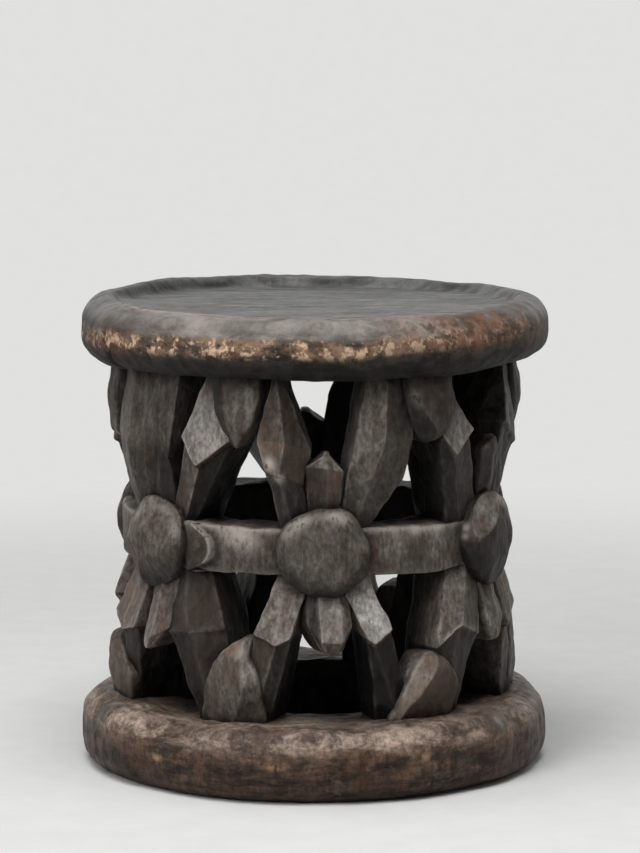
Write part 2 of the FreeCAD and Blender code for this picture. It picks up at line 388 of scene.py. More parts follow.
def cage_finish():
    """Dark patina over knife cuts: tone per facet with painted light and shade, pale arrises that are partly
    rubbed and partly painted highlight, darker towards the core, and painted shade where pieces meet.
    """
    dark, light, bloom = (0.044, 0.033, 0.025), (0.112, 0.097, 0.084), (0.138, 0.126, 0.116)
    stain, black, brown = (0.074, 0.049, 0.035), (0.025, 0.018, 0.014), (0.150, 0.085, 0.056)
    rubbed, bare = (0.37, 0.330, 0.295), (0.48, 0.425, 0.375)
    bench = Bench("cage_wood_patina")
    grain = bench.noise((150, 150, 16), 6, 0.7, warp=0.5)
    blotch = bench.noise((46, 46, 30), 6, 0.68, (5, 2, 9))
    mottle = bench.noise((120, 120, 85), 5, 0.7, (9, 4, 1))
    speckle = bench.noise((330, 330, 190), 4, 0.65, (2, 6, 8))
    # each facet's tone mark holds its own tone together with painted light and shade: lighter where it faces
    # the light, darker where it faces away
    tone_and_light = bench.mark("tone_and_light")
    colour = bench.mix(bench.span(grain, 0.3, 0.72), dark, light)
    colour = bench.mix(bench.span(mottle, 0.48, 0.68, 0, 0.7), colour, bloom)
    colour = bench.mix(bench.span(blotch, 0.5, 0.66, 0, 0.8), colour, stain)
    colour = bench.mix(bench.span(mottle, 0.46, 0.28, 0, 0.7), colour, black)
    colour = bench.scaled(colour, bench.span(speckle, 0.34, 0.66, 0.68, 1.32))
    colour = bench.mix(bench.times(bench.mark("warm"), bench.span(blotch, 0.3, 0.6, 0.35, 1)), colour, brown)
    colour = bench.node("ShaderNodeHueSaturation", "Color", {
        "Color": bench.scaled(colour, tone_and_light), "Saturation": bench.span(tone_and_light, 1.3, 3.2, 1.0, 0.45)})
    # pale arrises, partly rubbed wood and partly painted highlight; on the bodies' upper rims painted
    # highlight alone
    colour = bench.mix(bench.times(bench.mark("wear_and_highlight"), bench.span(speckle, 0.29, 0.5)), colour, rubbed)
    colour = bench.mix(bench.times(bench.mark("chip"), bench.span(mottle, 0.34, 0.48)), colour, bare)
    # darker towards the core
    core_darkening = bench.span(bench.axis_distance(), 0.104, 0.139, 0.08, 1.0)
    # painted shade where this piece meets another
    colour = bench.scaled(colour, core_darkening, bench.mark("joint_shade"))
    return bench.wood(colour, bench.span(grain, 0.25, 0.75, 0.42, 0.66), (210, 210, 18), 1.4, 0.18)


def seat_finish():
    """Grey sheen on the dish, dark sides, a band rubbed to brown along the rim, bare wood with a painted
    highlight on the rim's slope, one crack, and painted shade towards the underside and where pieces meet.
    """
    side_dark, side_light = (0.013, 0.011, 0.009), (0.078, 0.064, 0.053)
    dish_dark, dish_light, stain = (0.068, 0.067, 0.064), (0.148, 0.148, 0.142), (0.062, 0.048, 0.039)
    slope_dark, slope_light = (0.105, 0.090, 0.080), (0.290, 0.260, 0.238)
    red_dark, red_light = (0.062, 0.031, 0.019), (0.165, 0.078, 0.047)
    band_dark, band_light, bare = (0.080, 0.046, 0.032), (0.330, 0.200, 0.130), (0.82, 0.58, 0.40)
    rubbed, gap = (0.44, 0.335, 0.26), (0.008, 0.006, 0.005)
    bench = Bench("seat_wood_patina")
    streak = bench.noise((11, 130, 60), 6, 0.65, warp=0.4)
    cloud = bench.noise((18, 24, 24), 4, 0.6, (4, 4, 1))
    mottle = bench.noise((70, 70, 95), 6, 0.72, (7, 2, 5))
    fine = bench.noise((230, 230, 200), 5, 0.7, (0, 3, 6))
    rubs = bench.ring_noise(26, 170, 6, 0.7, (1, 5, 2))
    patchy = bench.span(bench.noise((40, 40, 85), 6, 0.75, (8, 1, 3)), 0.36, 0.5)
    fleck = bench.span(bench.noise((125, 125, 105), 5, 0.68, (3, 3, 8)), 0.5, 0.59)
    top = bench.mark("top")
    side = bench.mix(bench.span(mottle, 0.4, 0.6), side_dark, side_light)
    dish = bench.mix(bench.span(streak, 0.36, 0.66), dish_dark, dish_light)
    colour = bench.mix(top, side, dish)
    colour = bench.mix(bench.span(cloud, 0.5, 0.72, 0, 0.5), colour, stain)
    # bare pale wood on the rim's slope, with a painted highlight in one place
    bare_and_highlight = bench.mix(bench.span(rubs, 0.34, 0.66), slope_dark, slope_light)
    colour = bench.mix(bench.times(bench.mark("bare_and_highlight"), bench.span(cloud, 0.28, 0.5, 0.45, 1)), colour, bare_and_highlight)
    red = bench.mix(bench.span(mottle, 0.4, 0.62), red_dark, red_light)
    colour = bench.mix(bench.times(bench.mark("red"), patchy), colour, red)
    band = bench.mix(fleck, bench.mix(bench.span(mottle, 0.38, 0.6), band_dark, band_light), bare)
    colour = bench.mix(bench.times(bench.mark("band"), patchy), colour, band)
    # rubbed lip, and a paler spot on the edge painted as a highlight
    colour = bench.mix(bench.times(bench.mark("wear_and_highlight"), bench.span(fine, 0.4, 0.55)), colour, rubbed)
    # painted shade towards the underside and where this piece meets another
    colour = bench.scaled(colour, bench.span(fine, 0.25, 0.5, 0.72, 1.0), bench.mark("shade"),
                          bench.mark("joint_shade"))
    colour = bench.mix(bench.mark("crack"), colour, gap)
    rough = bench.total(bench.span(mottle, 0.3, 0.7, 0, 0.2), bench.span(top, 0, 1, 0.55, 0.36))
    return bench.wood(colour, rough, (22, 60, 190), 1.0, 0.2)


def base_finish():
    """Brown wood with a lighter rubbed band on the shoulder, pale chips, a dark bore, and painted shade
    towards the floor and where pieces meet.
    """
    dark, light, red = (0.022, 0.014, 0.010), (0.126, 0.077, 0.053), (0.108, 0.057, 0.035)
    black, pale, bare = (0.022, 0.016, 0.012), (0.185, 0.130, 0.098), (0.38, 0.24, 0.15)
    top_dark, top_light, rubbed = (0.070, 0.049, 0.038), (0.265, 0.204, 0.165), (0.44, 0.335, 0.270)
    bench = Bench("base_wood_patina")
    streak = bench.ring_noise(24, 130, 6, 0.68, (0, 0, 0))
    cloud = bench.noise((24, 24, 36), 5, 0.62, (4, 9, 1))
    mottle = bench.noise((75, 75, 110), 6, 0.72, (7, 2, 5))
    fine = bench.noise((220, 220, 190), 5, 0.7, (0, 3, 6))
    smear = bench.ring_noise(30, 150, 6, 0.75, (2, 8, 3))
    scratch = bench.noise((190, 190, 16), 5, 0.7, (6, 1, 4))
    colour = bench.mix(bench.span(streak, 0.38, 0.62), dark, light)
    colour = bench.mix(bench.span(cloud, 0.44, 0.66, 0, 0.75), colour, red)
    colour = bench.mix(bench.span(mottle, 0.5, 0.34, 0, 0.85), colour, black)
    colour = bench.mix(bench.span(mottle, 0.57, 0.66, 0, 0.7), colour, pale)
    colour = bench.scaled(colour, bench.span(scratch, 0.3, 0.7, 0.7, 1.3))
    top = bench.mix(bench.span(smear, 0.36, 0.64), top_dark, top_light)
    colour = bench.mix(bench.mark("top"), colour, top)
    colour = bench.mix(bench.times(bench.mark("band"), bench.span(smear, 0.43, 0.66)), colour, rubbed)
    colour = bench.mix(bench.times(bench.mark("chip"), bench.span(fine, 0.36, 0.5)), colour, bare)
    # darker towards the bore
    core_darkening = bench.span(bench.axis_distance(), 0.108, 0.142, 0.10, 1.0)
    # painted shade where this piece meets another and towards the floor
    colour = bench.scaled(colour, core_darkening, bench.mark("joint_shade"), bench.mark("shade"),
                          bench.span(fine, 0.34, 0.62, 0.6, 1.25))
    return bench.wood(colour, bench.span(mottle, 0.3, 0.7, 0.36, 0.6), (30, 30, 170), 1.2, 0.18)


CAGE, SEAT, BASE = cage_finish(), seat_finish(), base_finish()

# Painted shade and chips on the cage

BODY_EDGE, BODY_FACE = 31, 146  # a body's own radius, and the radius on the log where that is measured
# painted shade round the bodies, in the corners and under the seat
BODY_SHADE, CORNER_SHADE, SEAT_SHADOW = (0.6, 4), (0.65, 4.5), (0.6, 9)  # strength, reach

# Bare chips and rubbed spots: turn, height, radius, size, strength
CHIPS = np.array((
    (-15, 234, 147, 4.5, 1.0), (-12.5, 224, 148, 4.0, 0.6), (25.4, 279, 151, 5.5, 0.45),
    (25.9, 274, 151, 4.0, 0.3), (-69, 227, 146, 4.0, 0.7), (53, 240, 146, 3.0, 0.6),
    (45.5, 182, 142, 3.0, 0.9), (45.5, 176, 142, 2.5, 0.8), (-22.6, 103, 150, 4.5, 0.5),
    (26.8, 95, 149, 5.0, 0.5), (-36, 110, 151, 4.0, 0.5), (-24.5, 184, 141, 6.0, 0.7),
    (-21, 179, 141, 5.0, 0.6), (27, 186, 140, 5.0, 0.7), (36, 186, 140, 6.0, 0.7),
))


def chipped(grid):
    """How far each point lies in a chip: the largest of strength times a mound of the chip's size."""
    away = np.linalg.norm(grid[..., None, :] - laid_out(CHIPS[:, :3]), axis=-1)
    return (CHIPS[:, 4] * mound(away, 0, CHIPS[:, 3])).max(-1)


def painted_shade(grid):
    """Share of colour that painted shade leaves: round the bodies, in corners and under the seat, multiplied.

    The corners are those at the heights of the seat's underside, the base's top and the hoop's edges.
    """
    height = grid[..., 2]
    aside = np.abs(short_way(turn_of(grid)[..., None] - TURNS[:len(SPIDERS)])).min(-1)
    from_body = np.abs(np.hypot(np.radians(aside) * BODY_FACE, height - WAIST) - BODY_EDGE)
    from_corner = np.abs(height[..., None] - (SEAT_UNDER, BASE_TOP, HOOP_TOP, HOOP_UNDER)).min(-1)
    from_seat = np.abs(SEAT_UNDER - height)
    return shade_share(from_body, *BODY_SHADE) * shade_share(from_corner, *CORNER_SHADE) * shade_share(from_seat, *SEAT_SHADOW)


# Carved limbs

SHOULDER = 0.3  # how far the shoulders lie behind the ridge, as a share of the half width
FOLD_BEND, FOLD_RUN, EDGE_BEND, EDGE_RUN = 5, 13, 5, 8  # points along a limb and round its section
BACK_EASE, FOLD_EASE = 5.0, 1.8  # wear of the corners towards the core and of the folds
TIP_SHARE, TIP_REACH = 0.6, 2.2
# drop of a ledge, then painted shade on the face under a ledge and on the side walls
LEDGE_DROP, LEDGE_SHADE, SIDE_SHADE = 2.2, 0.45, 0.75
# pale lip and arrises: partly wear and partly painted highlight
LIP_DEEP, LIP_POINTS, LIP_WEAR_AND_HIGHLIGHT = 0.5, 20, 0.9
ARRIS_WIDE, RIDGE_WEAR_AND_HIGHLIGHT, PLAIN_WEAR_AND_HIGHLIGHT, NICK_DEEP = 1.6, 0.55, 0.95, 1.3


def section(height, turn, tilt, half, ridge):
    """Front corners of a level or tilted cut: left shoulder, ridge, right shoulder.

    The shoulders lie half to each side, SHOULDER times half behind the ridge; tilt lifts the right one.
    """
    angle, lean = math.radians(turn), math.radians(tilt)
    out = np.array([math.sin(angle), -math.cos(angle), 0])
    side = np.array([math.cos(angle), math.sin(angle), 0]) * math.cos(lean)
    across = side + np.array([0, 0, math.sin(lean)])
    steps = ((ridge - SHOULDER * half, -half), (ridge, 0), (ridge - SHOULDER * half, half))
    points = np.array([a * out + b * across + (0, 0, height) for a, b in steps])
    return np.stack([turn_of(points), points[:, 2], np.hypot(points[:, 0], points[:, 1])], -1)


def flatten(fronts, first):
    """Moves the corners of two neighbouring cuts, each along its own radius, onto their best plane."""
    both = fronts[first:first + 2].reshape(-1, 3)
    points = laid_out(both)
    middle = points.mean(0)
    across = np.linalg.svd(points - middle)[2][2]
    both[:, 2] = (across @ middle - across[2] * both[:, 1]) / (on_log(both[:, 0], 0, 1) @ across)
    fronts[first:first + 2] = both.reshape(2, -1, 3)


def end_of(corners, end, inner, beyond):
    """Corners past one end of a limb: pushed on by beyond into the neighbour, or else a blunt tip.

    A tip is the end drawn in to TIP_SHARE and moved by TIP_REACH away from the next cut inwards.
    """
    if beyond:
        return corners[end] + (0, 0, beyond)
    middle = corners[end].mean(0)
    way = middle - corners[inner].mean(0)
    return middle + (corners[end] - middle) * TIP_SHARE + way / np.linalg.norm(way) * TIP_REACH


def near_lip(grid, lip):
    """Distance from each point to a lip: to the nearest of points set evenly along its straights."""
    corners, share = laid_out(lip), np.linspace(0, 1, LIP_POINTS)[:, None]
    line = (corners[:-1, None] + share * (corners[1:] - corners[:-1])[:, None]).reshape(-1, 3)
    return np.linalg.norm(grid[:, :, None] - line, axis=-1).min(-1)


def carved(name, fronts, back, sunk_start, sunk_end, edges, seed, look):
    """Faceted limb through a list of front lines, each a row of places (turn, height, radius).

    Every front line gets two back corners, at the radius back and the turns of its outer corners,
    which look may spread, so the limb is a closed polygon carried along the path of its corners. The
    polygon's corners and the folds between two cuts are eased, sunk_start and sunk_end push the ends
    on into the neighbours (0 blunts a free tip), and a fine unevenness moves the skin along its
    normal. look may give a flat plate (the number of its first cut), a ledge (the cut below which the
    wood steps back, and the step), tones per facet, which hold painted light and shade as well as the
    wood's own tone, browns per facet, the ease of the folds and the strength of the pale arrises,
    which are partly rubbed and partly painted highlight. The face under a ledge and the side walls
    get painted shade.
    """
    rng = np.random.default_rng(seed)
    fronts = np.asarray(fronts, float)
    stations, wide = fronts.shape[:2]
    tones_and_light = rng.uniform(0.85, 1.15, (stations - 1, wide - 1)) * np.asarray(look.get("tones_and_light", 1.0))
    warm = np.zeros_like(tones_and_light) + np.asarray(look.get("warm", 0.0))
    if "plate" in look:
        flatten(fronts, look["plate"])
    if "ledge" in look:
        cut, step = look["ledge"]
        lip = fronts[cut] - (0, 0, LIP_DEEP)
        upward = fronts[-1, 0, 1] > fronts[0, 0, 1]
        fronts = np.insert(fronts, cut if upward else cut + 1, fronts[cut] - (0, LEDGE_DROP, step), 0)
        tones_and_light, warm = np.insert(tones_and_light, cut, LEDGE_SHADE, 0), np.insert(warm, cut, 0, 0)
        stations += 1
    backs = fronts[:, [0, -1]].copy()
    backs[..., 2] = back
    backs[..., 0] += np.array(look.get("spread", (0, 0))) * (-1, 1)
    corners = laid_out(np.concatenate([backs[:, :1], fronts, backs[:, 1:]], 1))
    start, end = end_of(corners, 0, 1, sunk_start), end_of(corners, -1, -2, sunk_end)
    corners = np.concatenate([start[None], corners, end[None]])
    path = eased(corners, look.get("fold", FOLD_EASE), False, FOLD_BEND, FOLD_RUN)
    cuts = [BACK_EASE] + [edges] * wide + [BACK_EASE]
    grid = np.swapaxes(eased(np.swapaxes(path, 0, 1), cuts, True, EDGE_BEND, EDGE_RUN), 0, 1)

    # tone of the facets, with painted light and shade, and their brown: ends as the facets next to them, side
    # walls a little darker as painted shade, and painted shade near the bodies, in the corners and under the
    # seat
    cell = np.ix_(sides_of(len(corners), False, FOLD_BEND, FOLD_RUN),
                  sides_of(wide + 2, True, EDGE_BEND, EDGE_RUN))
    tone_and_light, brown = np.ones((stations + 1, wide + 2)), np.zeros((stations + 1, wide + 2))
    tone_and_light[1:stations, 1:wide], brown[1:stations, 1:wide] = tones_and_light, warm
    tone_and_light[0], tone_and_light[stations] = tone_and_light[1], tone_and_light[stations - 1]
    tone_and_light[:, 0], tone_and_light[:, wide] = SIDE_SHADE * tone_and_light[:, 1], SIDE_SHADE * tone_and_light[:, wide - 1]
    tone_and_light = tone_and_light[cell] * painted_shade(grid)

    # pale arrises, partly rubbed and partly painted highlight, paler on the lighter facets: the outer
    # corners' own lines, the ridge more faintly, and a ledge's lip
    away = np.linalg.norm(grid[:, :, None] - path[:, None, 1:-1], axis=-1)
    strength = np.full(wide, RIDGE_WEAR_AND_HIGHLIGHT)
    strength[[0, -1]] = 1
    wear_and_highlight = (mound(away, 0, ARRIS_WIDE) * strength).max(-1)
    if "ledge" in look:
        wear_and_highlight = np.maximum(wear_and_highlight, LIP_WEAR_AND_HIGHLIGHT * mound(near_lip(grid, lip), 0, ARRIS_WIDE))
    here_and_there = np.clip(0.55 + 0.6 * waves(grid, seed + 31, 14, 34), 0.08, 1)
    wear_and_highlight = wear_and_highlight * look.get("wear_and_highlight", PLAIN_WEAR_AND_HIGHLIGHT) * np.clip(0.75 * tone_and_light, 0.12, 1) * here_and_there

    marks = {"wear_and_highlight": wear_and_highlight, "chip": chipped(grid), "tone_and_light": tone_and_light, "warm": brown[cell]}
    grid, normal, *values = outwards(grid, path.mean(1)[:, None], *marks.values())
    marks = dict(zip(marks, values))
    grid = roughened(grid, normal, (0.32, seed, 8, 18), (0.5, seed + 500, 20, 45))
    nicks = ramp(waves(grid, seed + 77, 5, 12), 0.3, 1) * marks["wear_and_highlight"]
    grid = grid - NICK_DEEP * nicks[..., None] * normal
    piece_of(name, hand_cut(grid), marks, CAGE)


# Cuts of the limbs that don't follow the plain pattern: front lines from hoop to seat or base, and of
# knots from seat or base to tip
CUTS = {
    "front_upper_left_leg": (
        ((-12.4, 187.5, 136), (-8.4, 187.4, 139), (-4.6, 188, 136)),
        ((-16.6, 229, 145), (-12.6, 226, 149.5), (-6.0, 220, 144.5)),
        ((-19.0, 249, 147), (-10.9, 248.5, 154.5), (-3.8, 242.5, 146)),
        ((-15.6, 291, 139), (-14.0, 291, 141.5), (-12.4, 291, 139.5)),
    ),
    "front_upper_right_leg": (
        ((4.1, 187.5, 136), (8.3, 187.1, 139), (13.2, 189, 137)),
        ((5.8, 214.8, 142), (12.8, 221.9, 147), (23.2, 220.9, 143)),
        ((6.7, 229, 145), (15.8, 248.5, 152), (25.5, 254.8, 145)),
        ((12.8, 291, 138), (18, 291, 143), (23.3, 291, 139)),
    ),
    "left_front_upper_right_leg": (
        ((-50.1, 187.6, 136), (-43.7, 187.3, 139), (-40.9, 188.1, 134)),
        ((-41.7, 249, 147), (-36.3, 228.9, 151.5), (-26.6, 246.9, 147)),
        ((-34.7, 291, 139), (-29.3, 291, 142), (-22.5, 291, 139)),
    ),
    "right_front_upper_left_leg": (
        ((40.7, 188.4, 134), (44.1, 188, 139), (53.3, 187.4, 136)),
        ((34.9, 247.9, 147), (39.1, 234.2, 151.5), (47, 251.6, 147)),
        ((30.5, 291, 139), (33.5, 291, 142), (37, 291, 139)),
    ),
    "front_lower_left_leg": (
        ((-13.2, 154.4, 135), (-10.8, 154, 140), (-3.5, 153.7, 137)),
        ((-19.9, 115.5, 146), (-13.6, 107.5, 152), (-9.2, 112.5, 149)),
        ((-25.7, 51, 137), (-20.7, 51, 141), (-15.8, 51, 137)),
    ),
    "front_lower_right_leg": (
        ((3.8, 153.6, 137), (11.1, 153.5, 140), (13.8, 153.9, 135)),
        ((11.8, 111.5, 149), (13.6, 108, 152), (19.2, 117.2, 146)),
        ((14.9, 51, 137), (21.7, 51, 141), (27.2, 51, 137)),
    ),
    "left_front_lower_right_leg": (
        ((-50.3, 153.4, 136), (-42.7, 154.5, 140), (-35.6, 154.5, 132)),
        ((-48.4, 110, 145), (-38.8, 113.1, 151), (-28.8, 115.9, 140)),
        ((-39.1, 51, 137), (-33.6, 51, 140), (-25.7, 51, 137)),
    ),
    "right_front_lower_left_leg": (
        ((40.8, 154.5, 134), (46.9, 154.5, 140), (54.7, 154.5, 136)),
        ((34.1, 99.1, 144), (41, 115.1, 151.5), (50, 105, 147)),
        ((29.3, 51, 137), (36, 51, 141), (43.8, 51, 137)),
    ),
    "lower_knot_front_left": (
        ((-36.5, 51, 142), (-25.9, 51, 146), (-16.5, 51, 142)),
        ((-34.9, 78.5, 145), (-22.3, 75.5, 152), (-17.9, 78.7, 147)),
        ((-30.7, 99.5, 146), (-22.9, 96.4, 151.5), (-21.1, 98.2, 148)),
        ((-25.4, 108.2, 145), (-22.2, 110, 148), (-20.5, 107.8, 146)),
    ),
    "lower_knot_front_right": (
        ((18.0, 51, 143), (20.2, 51, 147.5), (40, 51, 141)),
        ((22.6, 72, 146), (27.6, 74, 153), (42.2, 70, 145)),
        ((25.4, 86, 146), (32.0, 88, 152), (40.6, 80.5, 146)),
        ((28.6, 95.5, 146), (32.6, 96, 148.5), (35.4, 94, 146)),
    ),
    "upper_knot_front_left": (
        ((-32.9, 291, 142), (-28.5, 291, 146), (-18.8, 291, 142)),
        ((-32.2, 273, 145), (-28.2, 272, 150), (-18.4, 273, 147)),
        ((-29.6, 257, 146), (-26.8, 256, 150.5), (-20.4, 257.5, 148)),
        ((-26.4, 244.8, 145), (-25.2, 244.2, 147), (-24.2, 244.8, 146)),
    ),
    "upper_knot_front_right": (
        ((22.6, 291, 142), (23.6, 291, 146), (39.9, 291, 142)),
        ((23.3, 270.3, 145), (26.5, 270.5, 151), (41.1, 266.7, 145)),
        ((24.9, 255, 146), (31.6, 253, 151), (37, 255.1, 147)),
        ((27.1, 246.9, 145), (31.4, 246.4, 147), (35.2, 248.3, 145)),
    ),
    "front_head": (
        ((-5.2, 187.5, 136), (0, 187.5, 138), (3.6, 187.5, 136)),
        ((-5.5, 232, 145.5), (0.3, 231, 150), (5.4, 228, 145.5)),
        ((-0.6, 239.4, 147.5), (0.4, 240.2, 148.5), (1.5, 239.2, 147.5)),
    ),
    "front_tail": (
        ((-4.6, 154.5, 136), (-2.2, 154.5, 140), (4.1, 154.5, 140), (7.3, 154.5, 136)),
        ((-4.9, 121, 147), (-1.2, 110, 153), (4.5, 109.5, 153), (7.4, 121, 147)),
        ((-0.9, 103.5, 149), (0.6, 100.4, 150.5), (3.2, 100.2, 150.5), (4.8, 104, 149)),
    ),
    "left_front_upper_left_leg": (
        ((-72, 187.5, 135), (-64, 187.5, 138), (-56, 187.5, 134)),
        ((-79, 240, 145), (-64, 231, 150.5), (-48, 241, 143)),
        ((-77, 291, 139), (-66, 291, 142), (-46, 291, 138)),
    ),
    "left_front_tail": (
        ((-56, 154.5, 137), (-50, 154.5, 140), (-44.5, 154.5, 136)),
        ((-58.2, 103, 147), (-53, 104, 152), (-46.8, 113, 147)),
        ((-57.2, 96.8, 148), (-55.4, 95, 149.5), (-53, 98, 148)),
    ),
    "left_front_lower_left_leg": (
        ((-72, 154.5, 135), (-66, 154.5, 139), (-58, 154.5, 136)),
        ((-79.3, 114, 146), (-72, 102, 151), (-63.5, 107, 147)),
        ((-84, 51, 137), (-78, 51, 141), (-69, 51, 135)),
    ),
    "lower_knot_left": (
        ((-96, 51, 142), (-84, 51, 147), (-71, 51, 142)),
        ((-97, 69, 145), (-84, 68, 151.5), (-67, 68, 146)),
        ((-92, 86, 146), (-84, 86, 151), (-73, 83, 146)),
        ((-86.5, 95.5, 145), (-83.5, 96.5, 147.5), (-80, 95, 145)),
    ),
    "left_front_head": (
        ((-57, 187.5, 136), (-52.5, 187.5, 138.5), (-48, 187.5, 136)),
        ((-57, 226, 140), (-52.5, 228, 144), (-48.3, 226, 140)),
        ((-53.6, 238, 141), (-52.5, 238.6, 142), (-51.4, 238, 141)),
    ),
    "back_head": (
        ((173, 187.5, 137), (180.5, 187.5, 139), (185, 187.5, 137)),
        ((171.5, 227, 144.5), (180.5, 230, 148), (186, 228, 144.5)),
        ((178.6, 238, 146), (180.5, 238.8, 147), (182, 238, 146)),
    ),
}
# Looks of limbs that differ from the plain pattern. tones and warm go row by row in the order of the
# cuts, left facet first: tone darkens or lightens a facet, for its own tone and as painted light and
# shade by the way it faces the light, warm rubs it to the brown wood.
LOOKS = {
    "front_upper_left_leg": {
        "tones_and_light": ((0.42, 0.28), (1.25, 0.5), (0.95, 0.36)), "warm": ((0, 0), (0.3, 0.5), (0, 0.15)),
        "ledge": (1, 2.2), "wear_and_highlight": 1.0,
    },
    "front_upper_right_leg": {"tones_and_light": ((0.75, 0.7), (1.25, 0.62), (1.5, 0.55)), "fold": 4, "wear_and_highlight": 0.5},
    "left_front_upper_right_leg": {"tones_and_light": ((0.9, 0.13), (3.6, 3.6)), "plate": 1, "ledge": (1, 5)},
    "right_front_upper_left_leg": {"tones_and_light": ((0.2, 0.5), (2.5, 2.5)), "plate": 1, "ledge": (1, 5)},
    "front_lower_left_leg": {
        "tones_and_light": ((1.6, 1.9), (0.5, 0.2)), "warm": ((0, 0), (0.45, 0)),
        "plate": 0, "ledge": (1, 4), "spread": (0, 2.5),
    },
    "front_lower_right_leg": {"tones_and_light": ((4.5, 4.7), (0.07, 0.17)), "plate": 0, "ledge": (1, 4)},
    "left_front_lower_right_leg": {
        "tones_and_light": ((0.5, 0.28), (0.2, 0.3)), "warm": ((0.1, 0.45), (0.1, 0.2)), "ledge": (1, 2.5),
    },
    "right_front_lower_left_leg": {"tones_and_light": ((1.5, 0.9), (0.4, 0.35)), "ledge": (1, 2.5)},
    "lower_knot_front_left": {
        "tones_and_light": ((1.3, 1.0), (1.35, 2.4), (1.4, 1.5)), "warm": ((0, 0), (0, 0), (0.5, 0.2)), "fold": 12,
    },
    "lower_knot_front_right": {
        "tones_and_light": ((1.7, 0.75), (2.0, 0.75), (1.6, 1.0)), "warm": ((0.25, 0.5), (0.2, 0.5), (0.4, 0.4)),
        "fold": 8,
    },
    "upper_knot_front_left": {
        "tones_and_light": ((0.45, 1.65), (0.45, 1.75), (0.5, 1.25)), "fold": 9, "wear_and_highlight": 0.6, "edges": 5,
    },
    "upper_knot_front_right": {
        "tones_and_light": ((0.25, 0.9), (0.25, 0.95), (0.25, 0.75)), "warm": ((0, 0.4), (0, 0.4), (0, 0.3)),
        "fold": 7,
    },
    "front_head": {"tones_and_light": ((0.45, 0.75), (1.7, 1.6)), "warm": ((0.3, 0.5), (0, 0))},
    "front_tail": {"tones_and_light": ((0.45, 2.6, 1.3), (0.5, 0.8, 0.7)), "spread": (5, 1)},
    "left_front_tail": {"tones_and_light": ((1.7, 1.5), (1.9, 1.2)), "warm": ((0, 0.2), (0, 0.2))},
    "left_front_lower_left_leg": {
        "tones_and_light": ((1.5, 1.5), (0.35, 0.14)), "warm": ((0.25, 0.2), (0.4, 0.5)), "plate": 0, "ledge": (1, 4),
    },
    "lower_knot_left": {"tones_and_light": ((0.9, 1.1), (1.0, 1.4), (1.0, 1.2)), "warm": 0.2, "fold": 7},
    "left_front_head": {"tones_and_light": ((0.5, 0.3), (0.25, 0.25)), "wear_and_highlight": 0.3, "fold": 6},
    "left_front_upper_left_leg": {"tones_and_light": ((0.95, 0.6), (1.15, 1.05)), "fold": 14, "wear_and_highlight": 0.5},
    "right_front_head": {"tones_and_light": ((0.3, 0.16), (0.5, 0.3)), "wear_and_highlight": 0.3},
    "right_front_upper_right_leg": {
        "tones_and_light": ((0.25, 0.2), (0.45, 0.3)), "plate": 1, "ledge": (1, 3), "wear_and_highlight": 0.4,
    },
    "upper_knot_right": {"tones_and_light": 0.45, "fold": 10, "wear_and_highlight": 0.4},
}

# Plain pattern. Knots: rise and half width as shares, radius of the ridge; their rows: name, root,
# direction, height, half width. Heads and tails: rise from the hoop, half width, radius of the ridge.
KNOT = ((0, 0.8, 146), (0.42, 1, 150), (1, 0.34, 147))
KNOT_ROWS = (("upper", SEAT_UNDER, -1, 49, 20), ("lower", BASE_TOP, 1, 56, 25))
HEAD = ((0, 10.6, 139), (48, 12.5, 147), (56, 2.5, 146.5))
TAIL = ((0, 10.6, 139), (-38.5, 12.5, 152), (-55, 5, 151))
KNOT_LOOK, HEAD_LOOK, TAIL_LOOK = {"fold": 10, "tones_and_light": 0.85}, {"tones_and_light": 0.9}, {"tones_and_light": 1.2}
# Legs: heights of hip, knee and foot, half width of the knee, look; the rest is the same in both rows
# the looks' tones paint the facets that face up lighter and those that face down darker, as painted light and
# shade
LEG_ROWS = (
    ("upper", -1, (HOOP_TOP, HOOP_TOP + 56, SEAT_UNDER), 21,
     {"plate": 1, "ledge": (1, 4), "tones_and_light": ((0.55, 0.55), (1.3, 1.3))}),
    ("lower", 1, (HOOP_UNDER, HOOP_UNDER - 43, BASE_TOP), 15,
     {"plate": 0, "ledge": (1, 4), "tones_and_light": ((1.4, 1.4), (0.6, 0.6))}),
)
HIP_TURN, KNEE_SHARE, FOOT_SHARE, KNEE_TILT = 8, 0.35, 0.65, 28
HIP_HALF, FOOT_HALF, HIP_RIDGE, KNEE_RIDGE, FOOT_RIDGE = 11, 16, 139, 150, 141
KNOT_EDGES, LIMB_EDGES = 3.2, 1.7  # wear of the front edges
KNOT_SEED, HEAD_SEED, TAIL_SEED, LEG_SEED, BODY_SEED = 100, 200, 220, 300, 40
# Where in a gap the knots sit and the upper legs meet, if not in the middle, as a share of the gap
MIDDLE, KNOT_SHARES, MEET_SHARES = 0.5, {"front_left": 0.56}, {"front_right": 0.435, "front_left": 0.71}


def limb(name, plain, back, sunk_start, sunk_end, edges, seed, look):
    """A carved limb by its own cuts if it has any, or else by the plain pattern, a little uneven."""
    if name in CUTS:
        fronts = CUTS[name]
    else:
        rng = np.random.default_rng(seed)
        fronts = [section(height, turn + rng.normal(0, 0.5), tilt, half * rng.uniform(0.93, 1.07),
                          ridge + rng.normal(0, 0.8)) for height, turn, tilt, half, ridge in plain]
    look = LOOKS.get(name, look)
    carved(name, fronts, back, sunk_start, sunk_end, look.get("edges", edges), seed, look)


def gap_turns(shares):
    """A turn in each gap: that of the spider before it, plus a share of the way to the next spider."""
    return [TURNS[place] + shares.get(gap, MIDDLE) * (TURNS[place + 1] - TURNS[place])
            for place, gap in enumerate(GAPS)]


knot_turns, meet_turns = gap_turns(KNOT_SHARES), gap_turns(MEET_SHARES)
leg_turns = {"upper": meet_turns, "lower": knot_turns}

